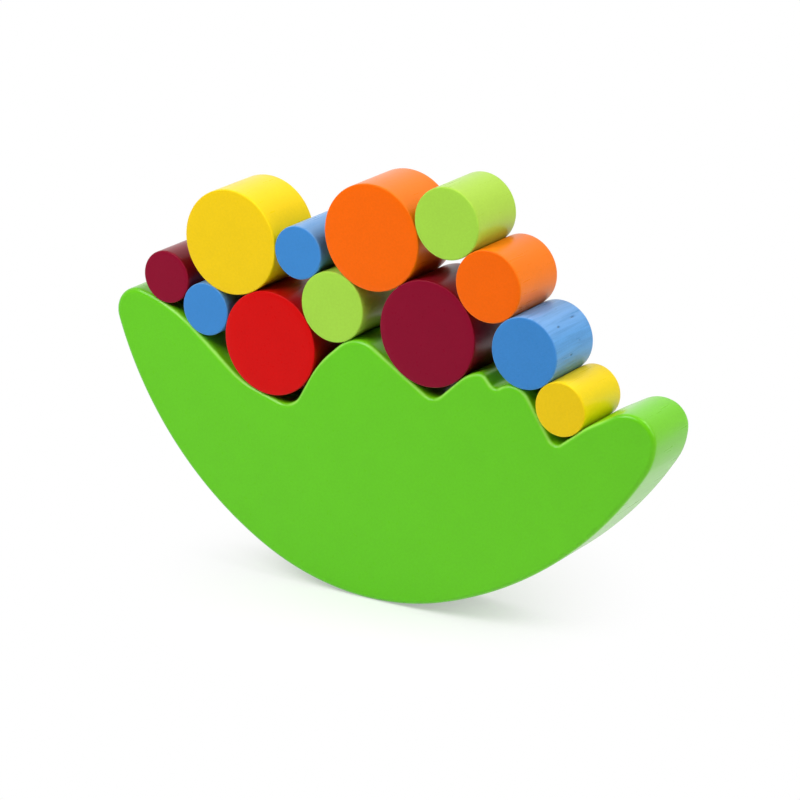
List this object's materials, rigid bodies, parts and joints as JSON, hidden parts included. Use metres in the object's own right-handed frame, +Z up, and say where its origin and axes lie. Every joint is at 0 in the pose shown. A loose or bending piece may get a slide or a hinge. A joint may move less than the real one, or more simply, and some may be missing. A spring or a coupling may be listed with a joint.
{
  "type": "stacking balance game",
  "caption": "Wooden crescent rocker with a wavy top edge, carrying a pile of loose painted cylinders in graded sizes that are stacked and drawn out without tipping it.",
  "frame": {"origin": "on the floor under the rocker, midway between the tips of its two horns and halfway through the thickness of the board", "axes": "+X along the rocker from the higher horn to the lower one, +Y from the front face to the back face along the cylinders' axes, +Z up"},
  "size_m": [0.293, 0.033, 0.2055],
  "materials": {
    "green_paint": "satin green paint on solid wood",
    "red_paint": "satin red paint on solid wood",
    "burgundy_paint": "satin burgundy paint on solid wood",
    "yellow_paint": "satin yellow paint on solid wood",
    "orange_paint": "satin orange paint on solid wood",
    "lime_paint": "satin lime paint on solid wood",
    "blue_paint": "satin blue paint on solid wood"
  },
  "bodies": {
    "rocker": {"rocker_base": "green_paint"},
    "large_red": {"large_red_cylinder": "red_paint"},
    "large_burgundy": {"large_burgundy_cylinder": "burgundy_paint"},
    "large_yellow": {"large_yellow_cylinder": "yellow_paint"},
    "large_orange": {"large_orange_cylinder": "orange_paint"},
    "medium_lime_lower": {"medium_lime_cylinder_lower": "lime_paint"},
    "medium_lime_upper": {"medium_lime_cylinder_upper": "lime_paint"},
    "medium_blue": {"medium_blue_cylinder": "blue_paint"},
    "medium_orange": {"medium_orange_cylinder": "orange_paint"},
    "small_yellow": {"small_yellow_cylinder": "yellow_paint"},
    "small_burgundy": {"small_burgundy_cylinder": "burgundy_paint"},
    "small_blue_lower": {"small_blue_cylinder_lower": "blue_paint"},
    "small_blue_upper": {"small_blue_cylinder_upper": "blue_paint"}
  },
  "joints": [
    {"name": "large_yellow_lift", "type": "slide", "parent": "rocker", "child": "large_yellow", "axis": [0, 0, 1], "range_m": [0, 0.06]},
    {"name": "small_blue_upper_lift", "type": "slide", "parent": "rocker", "child": "small_blue_upper", "axis": [0, 0, 1], "range_m": [0, 0.06]},
    {"name": "medium_lime_upper_lift", "type": "slide", "parent": "rocker", "child": "medium_lime_upper", "axis": [0, 0, 1], "range_m": [0, 0.06]},
    {"name": "large_red_draw", "type": "slide", "parent": "rocker", "child": "large_red", "axis": [0, -1, 0], "range_m": [0, 0.045]},
    {"name": "large_burgundy_draw", "type": "slide", "parent": "rocker", "child": "large_burgundy", "axis": [0, -1, 0], "range_m": [0, 0.045]},
    {"name": "large_orange_draw", "type": "slide", "parent": "rocker", "child": "large_orange", "axis": [0, -1, 0], "range_m": [0, 0.045]},
    {"name": "medium_lime_lower_draw", "type": "slide", "parent": "rocker", "child": "medium_lime_lower", "axis": [0, -1, 0], "range_m": [0, 0.045]},
    {"name": "medium_blue_draw", "type": "slide", "parent": "rocker", "child": "medium_blue", "axis": [0, -1, 0], "range_m": [0, 0.045]},
    {"name": "medium_orange_draw", "type": "slide", "parent": "rocker", "child": "medium_orange", "axis": [0, -1, 0], "range_m": [0, 0.045]},
    {"name": "small_yellow_draw", "type": "slide", "parent": "rocker", "child": "small_yellow", "axis": [0, -1, 0], "range_m": [0, 0.045]},
    {"name": "small_burgundy_draw", "type": "slide", "parent": "rocker", "child": "small_burgundy", "axis": [0, -1, 0], "range_m": [0, 0.045]},
    {"name": "small_blue_lower_draw", "type": "slide", "parent": "rocker", "child": "small_blue_lower", "axis": [0, -1, 0], "range_m": [0, 0.045]}
  ]
}
